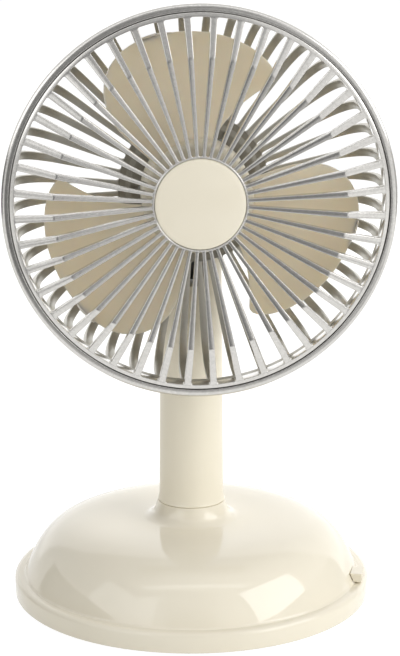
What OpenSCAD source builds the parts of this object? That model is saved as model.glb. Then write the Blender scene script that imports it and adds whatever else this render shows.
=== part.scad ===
// USB desk fan: a caged three-blade fan that tilts on a column above a weighted dome base.
// The origin is the centre of the base where it stands, +Z is up and the fan blows towards -Y.

/* [Base] */
// Radius of the flange round the foot of the base
base_r = 75; // [71:0.5:80]
// Height of the flange wall
flange_h = 8.3; // [6:0.1:10]
// Width of the ledge between the flange's edge and the dome
flange_ledge = 4.4; // [3.4:0.2:6]
// Rounding of the flange's upper edge
flange_round = 2; // [1:0.25:2.5]
// Height of the dome's flat crown above the flange
dome_h = 23.5; // [21:0.5:28]
// Squareness of the dome's shoulder
dome_square = 8; // [6:0.25:9]
// Wall of the base shell
base_wall = 2.2; // [1.8:0.1:2.8]
// Reach of the flared neck over the dome
neck_flare = 7.9; // [5:0.1:10]
// Rise of the neck above the dome
neck_rise = 7.3; // [4:0.1:9]
// Turn of the neck's flare, in degrees
neck_turn = 70; // [40:2:80]
// Thickness of the bottom cover
cover_t = 2.2; // [1.8:0.1:3]
// Radius of the circle on which the feet and the cover screws sit
foot_circle = 60; // [56:0.5:62]
// Radius of a rubber foot
foot_r = 6.5; // [5:0.5:7.5]
// Height of a rubber foot below the bottom cover
foot_stand = 1.4; // [1.2:0.2:2.4]
// Depth of the pocket that holds a rubber foot
foot_pocket = 0.8; // [0.4:0.1:1.2]
// Thickness of the steel ballast plate
ballast_t = 5; // [3:0.5:6]
// Outer radius of the ballast plate
ballast_r = 46; // [40:1:47]

/* [Column] */
// Radius of the column's foot, where it meets the neck
column_foot_r = 14.1; // [13.4:0.1:15.5]
// Radius of the column above its flared foot
column_r = 13.4; // [12.6:0.1:13.8]
// Radius of the column at the tilt pivot
column_top_r = 12.6; // [12:0.1:13.4]
// Height of the flare at the column's foot
column_flare_h = 6; // [3:0.5:10]
// Wall of the column at the pivot
column_wall = 2.8; // [2:0.1:3.4]
// Height of the tilt pivot above the table
pivot_z = 144; // [130:1:170]
// Width of the hinge tongue
tongue_w = 7.8; // [6:0.1:8.4]
// Radius of the hinge tongue's barrel
tongue_r = 9.4; // [8:0.1:10.4]
// Radius of the pivot screw
pivot_r = 2; // [1.5:0.1:2.4]

/* [Head] */
// Outer radius of the trim ring
head_r = 75.4; // [71:0.1:80]
// Wall of the trim ring
ring_wall = 2.4; // [2:0.1:3]
// Width of the trim ring's flat front
ring_lip = 2.9; // [2.4:0.1:3.6]
// Narrowing of the trim ring towards its back
ring_taper = 1; // [0:0.1:1.2]
// Depth of the trim ring from front to back
ring_depth = 15; // [12:0.5:18]
// Depth of the cage from its front rim to the back of the rear grille
cage_depth = 43; // [41:0.5:50]
// Room behind the rear grille, over the column's radius, for the head to tilt
tilt_room = 4.4; // [4:0.2:8]
// Gap between the pod and the column's round top
pod_gap = 1.2; // [0.8:0.1:3]
// Number of ribs in each grille
rib_count = 44; // [36:1:46]

/* [Front grille] */
// Width of the front rim
rim_w = 1.9; // [1.6:0.05:4]
// Thickness of the front rim from front to back
rim_t = 5; // [4:0.25:6]
// Radius of the ridge where the ribs bend
ridge_r = 55.6; // [48:0.2:60]
// Height of the ridge ahead of the rim
ridge_rise = 4; // [2:0.25:6]
// Distance of the hub's edge behind the rim's front
hub_sink = 0.8; // [0:0.1:2]
// Outer radius of the front hub
front_hub_r = 18.3; // [18:0.1:21]
// Radius of the hub cap
cap_r = 17.5; // [16:0.1:17.5]
// Width of a front rib at the rim
rib_rim_w = 2.6; // [2:0.1:3.2]
// Width of a front rib at the hub
rib_hub_w = 1.25; // [0.9:0.05:1.5]
// Depth of a front rib
rib_depth = 3.2; // [2:0.1:4]

/* [Rear grille] */
// Wall of the rear grille
rear_wall = 2; // [1.6:0.1:2.4]
// Radius of the flat back, where the rounding up to the side wall begins
bend_r = 55; // [50:0.5:57]
// Radius of the solid centre plate
plate_r = 30; // [28:0.5:34]
// Width of a rear slot at its inner end
slot_in_w = 2.4; // [2:0.1:2.6]
// Width of a rear slot at its outer end
slot_out_w = 7.1; // [6:0.1:7.6]

/* [Impeller] */
// Number of blades
blade_count = 3; // [2:1:4]
// Radius of the blade tips
blade_r = 63.8; // [56:0.2:65]
// Thickness of a blade
blade_t = 1.8; // [1.2:0.1:2.4]
// Depth of a blade from its trailing edge to its leading edge
blade_depth = 18.5; // [12:0.5:20]
// Bow of a blade across its chord
blade_camber = 1.5; // [0:0.25:3]
// Angle of a blade's root chord, in degrees
blade_root_sweep = 66.5; // [50:0.5:70]
// Distance of the blades' middle behind the front rim
blade_set = 23.2; // [18:0.2:25]
// Radius of the impeller's hub
hub_r = 21.7; // [20:0.1:24]
// Turn of the first blade's trailing edge from the top, in degrees
blade_start = -49.5; // [-180:0.5:180]

/* [Motor] */
// Radius of the motor can
motor_r = 12.2; // [11:0.1:12.6]
// Length of the motor can
motor_l = 24; // [22:0.5:26]
// Radius of the motor shaft
shaft_r = 1.5; // [1:0.1:1.6]
// Wall of the motor cradle
cradle_wall = 3.5; // [2.5:0.1:4]
// Wall of the pod cover
pod_wall = 2; // [1.6:0.1:2.6]
// Depth of the pod cover's round back
pod_crown = 10; // [7:0.5:11]

/* [Switch and socket] */
// Turn of the switch from the right-hand side, in degrees, negative towards the front
switch_angle = -15; // [-20:1:-10]
// Height of the switch above the flange's ledge
switch_rise = 2.6; // [2.4:0.1:4]
// Travel of the switch from off to its third speed
switch_travel = 4.5; // [3:0.5:6]
// Length of the switch knob along its travel
knob_l = 9; // [6:0.25:10]
// Height of the switch knob
knob_h = 3.6; // [3:0.1:5]
// Distance that the knob stands out of the dome
knob_out = 4.9; // [3:0.1:5.4]
// Width of the USB-C socket's mouth
socket_w = 8.94; // [8.5:0.02:9.5]
// Height of the USB-C socket's mouth
socket_h = 3.16; // [3:0.02:3.4]

/* [Hidden] */
$fn = 96;

cream = "#ebe4d1";
silver = "#b9bbbd";
tan_cream = "#d9ccb2";
black = "#202020";
steel = "#a8a9ab";
brass = "#c39a4a";
copper = "#b8693a";
ferrite = "#3b3b3d";
board_green = "#2e5b3c";

// Gaps: a press fit, a seat between fixed pieces, a running fit and a sliding fit
press_gap = 0.01;
seat_gap = 0.1;
run_gap = 0.04;
slide_gap = 0.3;
// Overshoot of a cut past the face that it opens
over = 1;

// Levels of the base
skirt = 1;
flange_z = foot_stand - skirt;
ledge_z = flange_z + flange_h;
cover_z = foot_stand + cover_t;
dome_r = base_r - flange_ledge;
flange_chamfer = 0.5;
foot_round = 0.6;
function dome_turn(r, w) = acos(pow(r / (dome_r - w), dome_square / 2));
function dome_point(t, w) = [
    (dome_r - w) * pow(cos(t), 2 / dome_square),
    ledge_z + (dome_h - w) * pow(sin(t), 2)
];
function dome_reach(z, w = 0) =
    (dome_r - w) * pow(1 - (z - ledge_z) / (dome_h - w), 1 / dome_square);
function dome_curve(r_end, w, n = 22) = [for (i = [0:n]) dome_point(dome_turn(r_end, w) * i / n, w)];
neck_foot_r = column_foot_r + neck_flare;
neck_foot_z = dome_point(dome_turn(neck_foot_r, 0), 0)[1];
seam_z = neck_foot_z + neck_rise;

// Column and its nut
column_bore = column_top_r - column_wall;
spigot_r = column_bore + 1.4;
nut_wall = 5.6;
nut_r = spigot_r + nut_wall;
nut_h = 6;
nut_seat_r = nut_r + 1;
nut_seat_z = dome_point(dome_turn(nut_seat_r, base_wall), base_wall)[1];
spigot_z = nut_seat_z - nut_h - 2;

// Fork at the column's top, with a washer on each side of the tongue
washer_t = 0.4;
washer_gap = 0.05;
fork_half = tongue_w / 2 + washer_t + 2 * washer_gap;
fork_floor_z = pivot_z - tongue_r - 0.6;
pivot_head_r = pivot_r + 1.7;
pivot_head_h = 2.2;
pivot_pocket_r = pivot_head_r + slide_gap;
pivot_cap_t = 1.2;
pivot_cap_x = sqrt(pow(column_top_r, 2) - pow(pivot_pocket_r, 2)) - pivot_cap_t;
ear_x = pivot_cap_x - seat_gap - pivot_head_h;

// Supply lead, from the board through the base and up the column
lead_r = 1.3;
lead_bend = 5;
lead_y = column_bore - lead_r - 0.4;
lead_hole_r = lead_r + 0.3;

// Screws: shank radius, head radius, head height and width of the cross in the head
screw_r = 1.4;
screw_head_r = 2.6;
screw_head_h = 1.8;
cross_w = 0.6;
post_r = 4;
cover_screw_l = 7;
cover_screw_turns = [30, 150, 270];
foot_turns = [45, 135, 225, 315];

// Ballast plate
ballast_hole_r = 18;
ballast_boss_r = 4;
ballast_collar_r = 5.6;
ballast_collar_t = 0.8;
ballast_screw_circle = (ballast_hole_r + ballast_r) / 2;
ballast_screw_turns = [90, 210, 330];

// Control board and its posts at the rear, with a block on it where the lead starts
board_t = 1.6;
board_post_r = 2.6;
board_post_h = 7.2;
board_w = 30;
board_l = 17.5;
board_screw_l = 6;
board_z = cover_z + board_post_h;
board_top = board_z + board_t;
socket_z = board_top + socket_h / 2;
socket_l = 7.3;
socket_wall = 0.3;
socket_tongue_w = 6.6;
socket_tongue_t = 0.7;
socket_mouth_y = dome_reach(socket_z) - 0.8;
board_y1 = socket_mouth_y - 4;
board_y0 = board_y1 - board_l;
board_hole_x = board_w / 2 - 4;
board_hole_ys = [board_y0 + 3.2, board_y1 - 3.6];
lead_block = [6, 4.4, 1.4];
lead_block_y = board_y0 + board_l * 0.32;

// Slide switch, in a frame turned so that +X points out through the dome
switch_z = ledge_z + switch_rise;
stem_l = 3;
stem_h = 1.8;
slider_l = 6;
slider_h = 3.4;
slider_d = 3;
switch_wall = 1;
switch_l = slider_l + switch_travel + 2 * slide_gap + 2 * switch_wall;
switch_h = slider_h + 2 * slide_gap + 2 * switch_wall;
switch_d = slider_d + 2 * slide_gap + 2 * switch_wall;
switch_face = sqrt(pow(dome_reach(switch_z + switch_h / 2, base_wall), 2) - pow(switch_l / 2, 2)) - 0.5;
switch_back = switch_face - switch_d;
slider_x = switch_back + switch_wall + slide_gap;
knob_rest = -switch_travel / 2;
knob_face = dome_reach(switch_z) + knob_out;
knob_clear = 0.65;
switch_foot_w = 3;

// Head: places along its axis are world Y
pod_in = motor_r + seat_gap + cradle_wall + seat_gap;
pod_r = pod_in + pod_wall;
head_z = pivot_z + column_top_r + pod_gap + pod_r;
back_y = -(column_top_r + tilt_room);
front_y = back_y - cage_depth;
rim_r = head_r - ring_wall - 0.15;
front_rim_r = head_r - ring_lip - 0.15;
rim_in = front_rim_r - rim_w;
shoulder_y = front_y + rim_t;
shoulder_t = 2.5;
ring_back_y = front_y + ring_depth;
ring_front_y = front_y + 0.3;
rear_rim_y = shoulder_y + shoulder_t;
hub_face_y = front_y + hub_sink;
hub_cup = 2;
hub_floor = 1.5;
cap_peg_r = 3;
rib_turn = 360 / rib_count;

// Rear centre plate, with its thicker middle
boss_t = 3.5;
boss_r = plate_r - 4;
plate_face_y = back_y - rear_wall;
boss_face_y = back_y - boss_t;
// Band of the rear rim ahead of the slots, which run through the side wall
rear_band = 3.5;
slot_front_y = rear_rim_y + rear_band;

// Motor
can_wall = 0.8;
nose_r = 4;
nose_l = 1.6;
bush_r = 3.2;
bush_l = 4;
motor_end_y = back_y + motor_l;
end_cap_t = 3;
end_cap_lip = 1;
core_r = motor_r - can_wall - 2.8;
core_l = 11;
core_set = 7;
core_y = back_y + core_set;
coil_over = 1.6;
arm_w = 4.2;
coil_w = 1.9;
shoe_t = 1.2;
shoe_turn = 96;
pole_turns = [90, 210, 330];
collar_r = 2.9;
magnet_t = 2;
magnet_y = back_y + 5.5;
magnet_l = 14;
magnet_gap = 6.8;
commutator_r = 3.1;
commutator_y = core_y + core_l + coil_over + 0.3;
commutator_l = motor_end_y - commutator_y - 2.2;
brush_w = 2;
brush_t = 2.2;
brush_y = commutator_y + 0.4;

// Motor cradle and pod
cradle_flange_t = 2.8;
cradle_r = motor_r + seat_gap + cradle_wall;
cradle_screw_circle = pod_r + screw_head_r + 0.5;
cradle_screw_turns = [60, 120, 240, 300];
pod_screw_turns = [0, 180];
cradle_flange_r = cradle_screw_circle + screw_head_r + 0.8;
cradle_back_y = back_y + cradle_flange_t;
cradle_end_y = tongue_r - 2.4;
tongue_half = 6;
pod_end_y = cradle_end_y + pod_crown;
lug_r = screw_head_r + 1;
lug_t = 4.2;
// Distance of the tips of the screws in the rear plate behind its front face
screw_tip = 0.8;

// Impeller
blade_y = front_y + blade_set;
hub_front_y = blade_y - blade_depth / 2 + 0.5;
hub_back_y = boss_face_y - 3.4;
hub_wall = 1.8;
hub_boss_r = 4;
hub_rib_t = 1.2;
blade_chord = 84;
trail_round_r = 32;
trail_round = 28.5;
lead_round_r = 51.3;
lead_round = 63.5;
lead_sweep = 0.61;
root_r = hub_r - hub_wall / 2;
blade_rows = 12;
blade_cols = 12;
nut_len = 2.2;
nut_across = 6.8;
nut_crown = 0.6;
shaft_front_y = hub_front_y - nut_len + nut_crown;

// Shapes that several pieces share

// Points on an elliptical arc
function arc(c, rx, ry, a0, a1, n = 8) =
    [for (i = [0:n]) let (a = a0 + (a1 - a0) * i / n) [c[0] + rx * cos(a), c[1] + ry * sin(a)]];

// Points on a circular arc from p to q that turns by the given angle, to the left where that is positive
function bulge(p, q, turn, n = 8) =
    let (d = q - p, l = norm(d), r = l / 2 / sin(abs(turn) / 2), h = sign(turn) * r * cos(turn / 2),
         c = (p + q) / 2 + h * [-d[1], d[0]] / l, a = atan2(p[1] - c[1], p[0] - c[0]))
    [for (i = [0:n]) c + r * [cos(a + turn * i / n), sin(a + turn * i / n)]];

// Stands children on the head's axis, with their +Z along world +Y
module on_head() {
    translate([0, 0, head_z]) rotate([-90, 0, 0]) children();
}

// Puts children on a circle at the given turns
module around(r, turns) {
    for (a = turns) rotate([0, 0, a]) translate([r, 0, 0]) children();
}

// Tube along +Z
module tube(r_out, r_in, h) {
    difference() {
        cylinder(r = r_out, h = h);
        translate([0, 0, -over]) cylinder(r = r_in, h = h + 2 * over);
    }
}

// Cross-head screw along -Z whose head sits on the plane z = 0
module screw(l, head_h = screw_head_h) {
    difference() {
        cylinder(r = screw_head_r, h = head_h);
        for (a = [0, 90]) rotate([0, 0, a])
            translate([-screw_head_r * 0.6, -cross_w / 2, head_h * 0.55]) cube([screw_head_r * 1.2, cross_w, head_h]);
    }
    translate([0, 0, -l]) cylinder(r = screw_r, h = l);
}

// Flat oval that is w wide and h high, drawn out along +Z
module oval(w, h, l) {
    translate([-(w - h) / 2, -h / 2, 0]) cube([w - h, h, l]);
    for (s = [-1, 1]) translate([s * (w - h) / 2, 0, 0]) cylinder(r = h / 2, h = l);
}

// Outer form of the base, grown by g over the dome
module base_form(g = 0) {
    rotate_extrude() polygon(concat(
        [[0, flange_z], [base_r - flange_chamfer, flange_z], [base_r, flange_z + flange_chamfer]],
        arc([base_r - flange_round, ledge_z - flange_round], flange_round, flange_round, 0, 90, 6),
        dome_curve(neck_foot_r, -g),
        bulge([neck_foot_r, neck_foot_z], [column_foot_r, seam_z], -neck_turn),
        [[0, seam_z]]
    ));
}

// Base

module base_void() {
    difference() {
        rotate_extrude() polygon(concat(
            [[0, flange_z - over], [base_r - base_wall, flange_z - over],
             [base_r - base_wall, ledge_z - base_wall], [dome_r - base_wall, ledge_z - base_wall]],
            dome_curve(nut_seat_r, base_wall),
            [[0, nut_seat_z]]
        ));
        around(foot_circle, cover_screw_turns) translate([0, 0, cover_z]) cylinder(r = post_r, h = dome_h);
    }
}

module base_shell() {
    color(cream) difference() {
        base_form();
        base_void();
        translate([0, 0, nut_seat_z - over]) cylinder(r = spigot_r + seat_gap, h = seam_z);
        around(foot_circle, cover_screw_turns) translate([0, 0, cover_z - over]) cylinder(r = screw_r, h = cover_screw_l + 2 * over);
        translate([0, socket_mouth_y - base_wall * 3, socket_z]) rotate([-90, 0, 0])
            oval(socket_w + 2 * seat_gap, socket_h + 2 * seat_gap, base_wall * 5);
        rotate([0, 0, switch_angle])
            translate([switch_face, -(switch_travel + stem_l) / 2 - slide_gap, switch_z - stem_h / 2 - slide_gap])
                cube([base_wall * 5, switch_travel + stem_l + 2 * slide_gap, stem_h + 2 * slide_gap]);
    }
}

module bottom_cover() {
    color(cream) difference() {
        union() {
            translate([0, 0, foot_stand]) cylinder(r = base_r - base_wall - seat_gap, h = cover_t);
            around(ballast_screw_circle, ballast_screw_turns)
                translate([0, 0, foot_stand]) cylinder(r = ballast_boss_r, h = cover_t + ballast_t);
            for (x = [-1, 1], y = board_hole_ys)
                translate([x * board_hole_x, y, foot_stand]) cylinder(r = board_post_r, h = cover_t + board_post_h);
            rotate([0, 0, switch_angle]) for (s = [-1, 1])
                translate([switch_back, s * (switch_l / 2 - 2) - switch_foot_w / 2, foot_stand])
                    cube([switch_d, switch_foot_w, switch_z - switch_h / 2 - foot_stand]);
        }
        around(foot_circle, foot_turns)
            translate([0, 0, foot_stand - over]) cylinder(r = foot_r + seat_gap, h = foot_pocket + over);
        around(foot_circle, cover_screw_turns) {
            translate([0, 0, foot_stand - over]) cylinder(r = screw_r + seat_gap, h = cover_t + 2 * over);
            translate([0, 0, foot_stand - over]) cylinder(r = screw_head_r + seat_gap, h = cover_t / 2 + over);
        }
        around(ballast_screw_circle, ballast_screw_turns)
            translate([0, 0, cover_z]) cylinder(r = screw_r, h = ballast_t + over);
        for (x = [-1, 1], y = board_hole_ys)
            translate([x * board_hole_x, y, cover_z]) cylinder(r = screw_r, h = board_post_h + over);
    }
}

module rubber_feet() {
    color(black) around(foot_circle, foot_turns) rotate_extrude() polygon(concat(
        [[0, 0]], arc([foot_r - foot_round, foot_round], foot_round, foot_round, -90, 0, 4),
        [[foot_r, foot_stand + foot_pocket], [0, foot_stand + foot_pocket]]
    ));
}

module cover_screws() {
    color(steel) around(foot_circle, cover_screw_turns)
        translate([0, 0, foot_stand + cover_t / 2]) mirror([0, 0, 1]) screw(cover_screw_l, cover_t / 2);
}

module ballast_plate() {
    color(steel) translate([0, 0, cover_z]) difference() {
        tube(ballast_r, ballast_hole_r, ballast_t);
        around(ballast_screw_circle, ballast_screw_turns)
            translate([0, 0, -over]) cylinder(r = ballast_boss_r + seat_gap, h = ballast_t + 2 * over);
    }
}

module ballast_screws() {
    color(steel) around(ballast_screw_circle, ballast_screw_turns)
        translate([0, 0, cover_z + ballast_t]) {
            cylinder(r = ballast_collar_r, h = ballast_collar_t);
            translate([0, 0, ballast_collar_t]) screw(ballast_t);
        }
}

module control_board() {
    color(board_green) difference() {
        union() {
            translate([-board_w / 2, board_y0, board_z]) cube([board_w, board_l, board_t]);
            translate([-lead_block[0] / 2, lead_block_y, board_top]) cube(lead_block);
        }
        for (x = [-1, 1], y = board_hole_ys)
            translate([x * board_hole_x, y, board_z - over]) cylinder(r = screw_r + seat_gap, h = board_t + 2 * over);
    }
}

module board_screws() {
    color(steel) for (x = [-1, 1], y = board_hole_ys) translate([x * board_hole_x, y, board_top]) screw(board_screw_l);
}

module usb_socket() {
    color(steel) translate([0, socket_mouth_y, socket_z]) rotate([90, 0, 0]) {
        difference() {
            oval(socket_w, socket_h, socket_l);
            translate([0, 0, -over])
                oval(socket_w - 2 * socket_wall, socket_h - 2 * socket_wall, socket_l - 0.8 + over);
        }
        translate([-socket_tongue_w / 2, -socket_tongue_t / 2, 0.6]) cube([socket_tongue_w, socket_tongue_t, socket_l - 1]);
    }
}

module switch_body() {
    color(black) rotate([0, 0, switch_angle]) difference() {
        translate([switch_back, -switch_l / 2, switch_z - switch_h / 2]) cube([switch_d, switch_l, switch_h]);
        translate([switch_back + switch_wall, -switch_l / 2 + switch_wall, switch_z - switch_h / 2 + switch_wall])
            cube([switch_d - 2 * switch_wall, switch_l - 2 * switch_wall, switch_h - 2 * switch_wall]);
        translate([switch_face - switch_wall - over, -(switch_travel + stem_l) / 2 - slide_gap,
                   switch_z - stem_h / 2 - slide_gap])
            cube([switch_wall + 2 * over, switch_travel + stem_l + 2 * slide_gap, stem_h + 2 * slide_gap]);
    }
}

// Knob, stem and slider in one moulding, shown at off
module switch_knob() {
    color(cream) rotate([0, 0, switch_angle]) translate([0, knob_rest, switch_z]) {
        translate([slider_x, -slider_l / 2, -slider_h / 2]) cube([slider_d, slider_l, slider_h]);
        translate([slider_x, -stem_l / 2, -stem_h / 2]) cube([knob_face - slider_x - 1, stem_l, stem_h]);
        difference() {
            translate([knob_face - knob_out - 2, -knob_l / 2, -knob_h / 2]) cube([knob_out + 2, knob_l, knob_h]);
            translate([0, -knob_rest, -switch_z]) base_form(knob_clear);
        }
    }
}

// Column and tilt hinge

module column() {
    color(cream) difference() {
        rotate_extrude() polygon(concat(
            [[0, spigot_z], [spigot_r, spigot_z], [spigot_r, seam_z], [column_foot_r, seam_z]],
            arc([column_foot_r, seam_z + column_flare_h], column_foot_r - column_r, column_flare_h - 1, 270, 180, 6),
            arc([0, pivot_z], column_top_r, column_top_r, 0, 90, 12)
        ));
        translate([0, 0, spigot_z - over]) cylinder(r = column_bore, h = fork_floor_z - 4 - spigot_z + over);
        translate([-fork_half, -column_r - over, fork_floor_z])
            cube([2 * fork_half, 2 * (column_r + over), pivot_z]);
        translate([0, lead_y, spigot_z]) cylinder(r = lead_hole_r, h = pivot_z - spigot_z);
        translate([-column_r - over, 0, pivot_z]) rotate([0, 90, 0])
            cylinder(r = pivot_r + seat_gap / 2, h = 2 * (column_r + over));
        for (s = [0, 1]) mirror([s, 0, 0]) translate([ear_x, 0, pivot_z]) rotate([0, 90, 0])
            cylinder(r = pivot_pocket_r, h = column_r);
    }
}

module column_nut() {
    color(black) translate([0, 0, nut_seat_z - nut_h]) difference() {
        cylinder(r = nut_r, h = nut_h);
        translate([0, 0, -over]) cylinder(r = spigot_r + seat_gap / 2, h = nut_h + 2 * over);
        for (i = [0:11]) rotate([0, 0, 30 * i]) translate([nut_r + 0.6, 0, -over]) cylinder(r = 1.6, h = nut_h + 2 * over);
    }
}

// Two-core lead from the control board to the hole in the fork's floor
module supply_lead() {
    lead_start = 0.6;
    lead_z = board_top + lead_block[2] + lead_start + lead_bend;
    lead_y1 = lead_block_y + lead_block[1] / 2;
    color(black) {
        translate([0, lead_y1, board_top + lead_block[2]]) cylinder(r = lead_r, h = lead_start);
        translate([0, lead_y1 - lead_bend, lead_z - lead_bend]) rotate([90, 0, 90])
            rotate_extrude(angle = 90) translate([lead_bend, 0]) circle(r = lead_r);
        translate([0, lead_y + lead_bend, lead_z]) rotate([-90, 0, 0])
            cylinder(r = lead_r, h = lead_y1 - lead_y - 2 * lead_bend);
        translate([0, lead_y + lead_bend, lead_z + lead_bend]) rotate([90, 0, 90]) rotate([0, 0, 180])
            rotate_extrude(angle = 90) translate([lead_bend, 0]) circle(r = lead_r);
        translate([0, lead_y, lead_z + lead_bend]) cylinder(r = lead_r, h = fork_floor_z + 1 - lead_z - lead_bend);
    }
}

module pivot_screw() {
    color(steel) translate([0, 0, pivot_z]) rotate([0, 90, 0]) {
        translate([0, 0, -ear_x - pivot_head_h / 4]) cylinder(r = pivot_r, h = 2 * ear_x + pivot_head_h * 5 / 4);
        translate([0, 0, -ear_x - pivot_head_h]) difference() {
            cylinder(r = pivot_head_r, h = pivot_head_h);
            translate([0, 0, -over]) cylinder(r = pivot_r * 0.7, h = 1.2 + over, $fn = 6);
        }
    }
}

module pivot_nut() {
    color(steel) translate([ear_x, 0, pivot_z]) rotate([0, 90, 0]) difference() {
        cylinder(r = pivot_head_r, h = pivot_head_h, $fn = 6);
        translate([0, 0, -over]) cylinder(r = pivot_r + press_gap, h = pivot_head_h + 2 * over);
    }
}

module pivot_washers() {
    color(brass) for (s = [0, 1]) mirror([s, 0, 0])
        translate([tongue_w / 2 + washer_gap, 0, pivot_z]) rotate([0, 90, 0])
            tube(pivot_head_r + 2, pivot_r + run_gap, washer_t);
}

module pivot_caps() {
    color(cream) for (s = [0, 1]) mirror([s, 0, 0])
        translate([pivot_cap_x, 0, pivot_z]) rotate([0, 90, 0]) cylinder(r = pivot_pocket_r - seat_gap / 2, h = pivot_cap_t);
}

// Head

// Ring that holds the motor, with the hinge tongue below it
module motor_cradle() {
    color(black) difference() {
        union() {
            on_head() {
                translate([0, 0, back_y]) cylinder(r = cradle_r, h = cradle_end_y - back_y);
                translate([0, 0, back_y]) cylinder(r = cradle_flange_r, h = cradle_flange_t);
            }
            translate([-tongue_w / 2, 0, pivot_z]) rotate([0, 90, 0]) cylinder(r = tongue_r, h = tongue_w);
            translate([-tongue_w / 2, -tongue_half, pivot_z]) cube([tongue_w, 2 * tongue_half, head_z - pivot_z]);
        }
        on_head() translate([0, 0, back_y - over])
            cylinder(r = motor_r + seat_gap / 2, h = cradle_end_y - back_y + 2 * over);
        translate([-tongue_w, 0, pivot_z]) rotate([0, 90, 0]) cylinder(r = pivot_r + run_gap, h = 2 * tongue_w);
        on_head() around(cradle_screw_circle, concat(cradle_screw_turns, pod_screw_turns)) translate([0, 0, back_y - over])
            cylinder(r = screw_r + seat_gap, h = cradle_flange_t + 2 * over);
    }
}

module cradle_screws() {
    color(steel) on_head() around(cradle_screw_circle, cradle_screw_turns)
        translate([0, 0, cradle_back_y]) screw(cradle_flange_t + boss_t - screw_tip);
}

module pod_cover() {
    color(cream) difference() {
        on_head() difference() {
            union() {
                rotate_extrude() polygon(concat(
                    [[0, cradle_back_y], [pod_r, cradle_back_y]],
                    arc([pod_r - pod_crown, pod_end_y - pod_crown], pod_crown, pod_crown, 0, 90, 8),
                    [[0, pod_end_y]]
                ));
                around(cradle_screw_circle, pod_screw_turns) translate([0, 0, cradle_back_y]) cylinder(r = lug_r, h = lug_t);
            }
            rotate_extrude() polygon(concat(
                [[0, cradle_back_y - over], [pod_in, cradle_back_y - over]],
                arc([pod_r - pod_crown, pod_end_y - pod_crown], pod_crown - pod_wall, pod_crown - pod_wall, 0, 90, 8),
                [[0, pod_end_y - pod_wall]]
            ));
            around(cradle_screw_circle, pod_screw_turns) translate([0, 0, cradle_back_y - over])
                cylinder(r = screw_r + seat_gap, h = lug_t + 2 * over);
        }
        translate([-tongue_w / 2 - slide_gap, cradle_back_y - over, head_z - pod_r - over])
            cube([tongue_w + 2 * slide_gap, tongue_half + slide_gap - cradle_back_y + over, pod_r]);
    }
}

module pod_screws() {
    color(steel) on_head() around(cradle_screw_circle, pod_screw_turns)
        translate([0, 0, cradle_back_y + lug_t]) screw(lug_t + cradle_flange_t + boss_t - screw_tip);
}

// Bowl of the rear grille: a side wall, a round corner and a flat back with a thicker middle
module rear_bowl() {
    corner = rim_r - bend_r;
    centre = [bend_r, back_y - corner];
    inner = corner - rear_wall;
    rotate_extrude() polygon(concat(
        [[rim_r, rear_rim_y]], arc(centre, corner, corner, 0, 90, 12),
        [[0, back_y], [0, boss_face_y], [boss_r, boss_face_y], [boss_r + 0.8, plate_face_y]],
        arc(centre, inner, inner, 90, 0, 12),
        [[rim_r - rear_wall, rear_rim_y]]
    ));
}

// Tapered slot with a round inner end, drawn along +X
module rear_slot() {
    r0 = plate_r + slot_in_w / 2;
    polygon(concat(
        arc([r0, 0], slot_in_w / 2, slot_in_w / 2, 90, 270, 6),
        [[rim_r + over, -slot_out_w / 2], [rim_r + over, slot_out_w / 2]]
    ));
}

module rear_grille() {
    color(silver) on_head() difference() {
        rear_bowl();
        translate([0, 0, slot_front_y]) linear_extrude(height = back_y - slot_front_y + over)
            for (i = [0:rib_count - 1]) rotate([0, 0, 90 + rib_turn * i]) rear_slot();
        translate([0, 0, boss_face_y - over]) cylinder(r = nose_r + seat_gap, h = boss_t + 2 * over);
        around(cradle_screw_circle, concat(cradle_screw_turns, pod_screw_turns))
            translate([0, 0, boss_face_y - over]) cylinder(r = screw_r, h = boss_t + 2 * over);
    }
}

module trim_ring() {
    in = head_r - ring_wall;
    front_in = head_r - ring_lip;
    shoulder_in = rim_in + 0.4;
    back_out = head_r - ring_taper;
    round = 0.9;
    color(silver) on_head() rotate_extrude() polygon(concat(
        [[in, ring_back_y], [in, rear_rim_y], [shoulder_in, rear_rim_y], [shoulder_in, shoulder_y],
         [front_in, shoulder_y], [front_in, ring_front_y]],
        arc([head_r - round, ring_front_y + round], round, round, 270, 360, 6),
        arc([back_out - round, ring_back_y - round], round, round, 0, 90, 6)
    ));
}

// Ribs in front view: one star of tapered bars joined at the hub
module rib_star() {
    r0 = front_hub_r - 0.6;
    r1 = rim_in + 0.6;
    polygon([for (i = [0:rib_count - 1]) let (a = 90 + rib_turn * (i + 0.5))
        for (p = [[r0, -rib_hub_w / 2], [r1, -rib_rim_w / 2], [r1, rib_rim_w / 2], [r0, rib_hub_w / 2]])
            [p[0] * cos(a) - p[1] * sin(a), p[0] * sin(a) + p[1] * cos(a)]]);
}

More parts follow.
